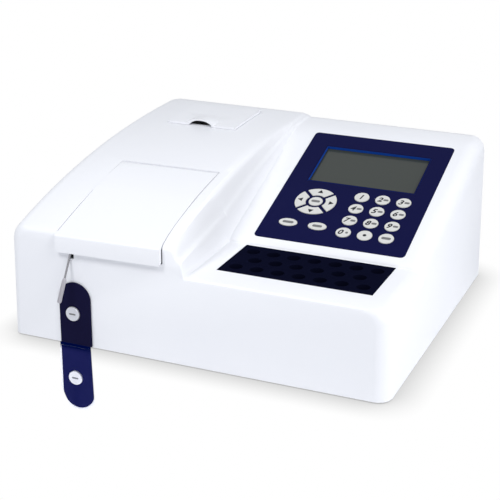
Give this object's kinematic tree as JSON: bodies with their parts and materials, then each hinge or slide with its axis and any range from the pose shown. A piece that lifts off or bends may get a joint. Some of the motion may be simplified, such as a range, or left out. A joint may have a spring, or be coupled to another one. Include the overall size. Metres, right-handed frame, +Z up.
{
  "type": "benchtop chemistry analyzer",
  "caption": "Low white bench analyzer with a hinged compartment lid and a sipper tube, a sloping membrane console with a display, a dark incubator block and a strip printer.",
  "frame": {"origin": "centre of the bounding box's base, on the surface that the feet stand on", "axes": "+Z up, +Y to the rear, +X to the right as seen from the front"},
  "size_m": [0.4074, 0.4036, 0.1781],
  "materials": {
    "shell_white": "moulded, fine satin",
    "navy_film": "printed film, satin",
    "key_grey": "satin",
    "silver_plastic": "silver paint, satin",
    "display_glass": "polished",
    "black_aluminium": "black anodised, matte",
    "cast_aluminium": "bead blasted",
    "pressed_sheet": "zinc plated",
    "steel": "brushed",
    "quartz_glass": "polished",
    "clear_tube": "translucent",
    "grey_plastic": "satin",
    "black_plastic": "satin",
    "rubber": "matte",
    "paper": "uncoated paper",
    "circuit_board": "solder mask"
  },
  "bodies": {
    "housing": {"upper_case": "shell_white", "base_pan": "pressed_sheet", "rear_panel": "pressed_sheet", "front_left_foot": "rubber", "front_right_foot": "rubber", "rear_left_foot": "rubber", "rear_right_foot": "rubber", "lid_hinge_pin": "steel", "compartment_tray": "grey_plastic", "optics_bench": "cast_aluminium", "flow_cell_block": "cast_aluminium", "flow_cell": "quartz_glass", "lamp_housing": "cast_aluminium", "sipper_tube": "steel", "sample_line": "clear_tube", "pump_body": "grey_plastic", "pump_tube": "clear_tube", "touch_plate": "navy_film", "printer_frame": "black_plastic", "keypad_overlay": "navy_film", "display_bezel": "navy_film", "lcd_module": "display_glass", "keypad_board": "circuit_board", "incubator_front_row": "black_aluminium", "incubator_middle_row": "black_aluminium", "incubator_rear_row": "black_aluminium", "power_inlet": "black_plastic", "fan_frame": "black_plastic", "serial_port": "steel", "waste_fitting": "grey_plastic", "main_board": "circuit_board", "power_supply": "pressed_sheet"},
    "lid": {"compartment_lid": "shell_white"},
    "printer_door": {"printer_cover": "shell_white"},
    "pump_wheel": {"pump_rotor": "black_plastic"},
    "filters": {"filter_wheel": "black_plastic"},
    "platen": {"platen_roller": "rubber"},
    "paper": {"paper_roll": "paper"},
    "fan": {"fan_rotor": "black_plastic"},
    "rocker": {"power_switch": "black_plastic"},
    "start_button": {"aspirate_button": "silver_plastic"},
    "key_0_body": {"key_0": "key_grey"},
    "key_1_body": {"key_1": "key_grey"},
    "key_2_body": {"key_2": "key_grey"},
    "key_3_body": {"key_3": "key_grey"},
    "key_4_body": {"key_4": "key_grey"},
    "key_5_body": {"key_5": "key_grey"},
    "key_6_body": {"key_6": "key_grey"},
    "key_7_body": {"key_7": "key_grey"},
    "key_8_body": {"key_8": "key_grey"},
    "key_9_body": {"key_9": "key_grey"},
    "key_point_body": {"key_point": "key_grey"},
    "key_function_body": {"key_function": "key_grey"},
    "key_oval_left_body": {"key_oval_left": "key_grey"},
    "key_oval_right_body": {"key_oval_right": "key_grey"},
    "key_up_body": {"key_up": "key_grey"},
    "key_right_body": {"key_right": "key_grey"},
    "key_down_body": {"key_down": "key_grey"},
    "key_left_body": {"key_left": "key_grey"},
    "key_enter_body": {"key_enter": "key_grey"}
  },
  "joints": [
    {"name": "lid_hinge", "type": "hinge", "parent": "housing", "child": "lid", "pos_m": [-0.09025, -0.04198, 0.1538], "axis": [-1, 0, 0], "range_deg": [0, 80]},
    {"name": "printer_door_hinge", "type": "hinge", "parent": "housing", "child": "printer_door", "pos_m": [-0.10845, 0.15702, 0.16996], "axis": [-1, 0, 0], "range_deg": [0, 65]},
    {"name": "pump_spin", "type": "hinge", "parent": "housing", "child": "pump_wheel", "pos_m": [-0.06925, -0.11998, 0.0875], "axis": [0, 0, 1], "continuous": true},
    {"name": "filter_spin", "type": "hinge", "parent": "housing", "child": "filters", "pos_m": [-0.09325, 0.00132, 0.0895], "axis": [0, 1, 0], "continuous": true},
    {"name": "paper_spin", "type": "hinge", "parent": "housing", "child": "paper", "pos_m": [-0.10825, 0.12102, 0.14327], "axis": [1, 0, 0], "continuous": true},
    {"name": "platen_spin", "type": "hinge", "parent": "housing", "child": "platen", "pos_m": [-0.10825, 0.09202, 0.15804], "axis": [1, 0, 0], "continuous": true},
    {"name": "fan_spin", "type": "hinge", "parent": "housing", "child": "fan", "pos_m": [0.11875, 0.17092, 0.0595], "axis": [0, 1, 0], "continuous": true},
    {"name": "rocker_tilt", "type": "hinge", "parent": "housing", "child": "rocker", "pos_m": [-0.12125, 0.18232, 0.0825], "axis": [1, 0, 0], "range_deg": [0, 14]},
    {"name": "start_press", "type": "slide", "parent": "housing", "child": "start_button", "axis": [0, 1, 0], "range_m": [0, 0.0012], "stiffness_N_per_m": 1200, "springref_m": -0.0008},
    {"name": "key_0_press", "type": "slide", "parent": "housing", "child": "key_0_body", "axis": [0, 0.3203, -0.9473], "range_m": [0, 0.0005], "stiffness_N_per_m": 2000, "springref_m": -0.0003},
    {"name": "key_1_press", "type": "slide", "parent": "housing", "child": "key_1_body", "axis": [0, 0.3203, -0.9473], "range_m": [0, 0.0005], "stiffness_N_per_m": 2000, "springref_m": -0.0003},
    {"name": "key_2_press", "type": "slide", "parent": "housing", "child": "key_2_body", "axis": [0, 0.3203, -0.9473], "range_m": [0, 0.0005], "stiffness_N_per_m": 2000, "springref_m": -0.0003},
    {"name": "key_3_press", "type": "slide", "parent": "housing", "child": "key_3_body", "axis": [0, 0.3203, -0.9473], "range_m": [0, 0.0005], "stiffness_N_per_m": 2000, "springref_m": -0.0003},
    {"name": "key_4_press", "type": "slide", "parent": "housing", "child": "key_4_body", "axis": [0, 0.3203, -0.9473], "range_m": [0, 0.0005], "stiffness_N_per_m": 2000, "springref_m": -0.0003},
    {"name": "key_5_press", "type": "slide", "parent": "housing", "child": "key_5_body", "axis": [0, 0.3203, -0.9473], "range_m": [0, 0.0005], "stiffness_N_per_m": 2000, "springref_m": -0.0003},
    {"name": "key_6_press", "type": "slide", "parent": "housing", "child": "key_6_body", "axis": [0, 0.3203, -0.9473], "range_m": [0, 0.0005], "stiffness_N_per_m": 2000, "springref_m": -0.0003},
    {"name": "key_7_press", "type": "slide", "parent": "housing", "child": "key_7_body", "axis": [0, 0.3203, -0.9473], "range_m": [0, 0.0005], "stiffness_N_per_m": 2000, "springref_m": -0.0003},
    {"name": "key_8_press", "type": "slide", "parent": "housing", "child": "key_8_body", "axis": [0, 0.3203, -0.9473], "range_m": [0, 0.0005], "stiffness_N_per_m": 2000, "springref_m": -0.0003},
    {"name": "key_9_press", "type": "slide", "parent": "housing", "child": "key_9_body", "axis": [0, 0.3203, -0.9473], "range_m": [0, 0.0005], "stiffness_N_per_m": 2000, "springref_m": -0.0003},
    {"name": "key_point_press", "type": "slide", "parent": "housing", "child": "key_point_body", "axis": [0, 0.3203, -0.9473], "range_m": [0, 0.0005], "stiffness_N_per_m": 2000, "springref_m": -0.0003},
    {"name": "key_function_press", "type": "slide", "parent": "housing", "child": "key_function_body", "axis": [0, 0.3203, -0.9473], "range_m": [0, 0.0005], "stiffness_N_per_m": 2000, "springref_m": -0.0003},
    {"name": "key_oval_left_press", "type": "slide", "parent": "housing", "child": "key_oval_left_body", "axis": [0, 0.3203, -0.9473], "range_m": [0, 0.0005], "stiffness_N_per_m": 2000, "springref_m": -0.0003},
    {"name": "key_oval_right_press", "type": "slide", "parent": "housing", "child": "key_oval_right_body", "axis": [0, 0.3203, -0.9473], "range_m": [0, 0.0005], "stiffness_N_per_m": 2000, "springref_m": -0.0003},
    {"name": "key_up_press", "type": "slide", "parent": "housing", "child": "key_up_body", "axis": [0, 0.3203, -0.9473], "range_m": [0, 0.0005], "stiffness_N_per_m": 2000, "springref_m": -0.0003},
    {"name": "key_right_press", "type": "slide", "parent": "housing", "child": "key_right_body", "axis": [0, 0.3203, -0.9473], "range_m": [0, 0.0005], "stiffness_N_per_m": 2000, "springref_m": -0.0003},
    {"name": "key_down_press", "type": "slide", "parent": "housing", "child": "key_down_body", "axis": [0, 0.3203, -0.9473], "range_m": [0, 0.0005], "stiffness_N_per_m": 2000, "springref_m": -0.0003},
    {"name": "key_left_press", "type": "slide", "parent": "housing", "child": "key_left_body", "axis": [0, 0.3203, -0.9473], "range_m": [0, 0.0005], "stiffness_N_per_m": 2000, "springref_m": -0.0003},
    {"name": "key_enter_press", "type": "slide", "parent": "housing", "child": "key_enter_body", "axis": [0, 0.3203, -0.9473], "range_m": [0, 0.0005], "stiffness_N_per_m": 2000, "springref_m": -0.0003}
  ],
  "couplings": [
    {"joint": "platen_spin", "follows": "paper_spin", "ratio": 4.6667}
  ]
}
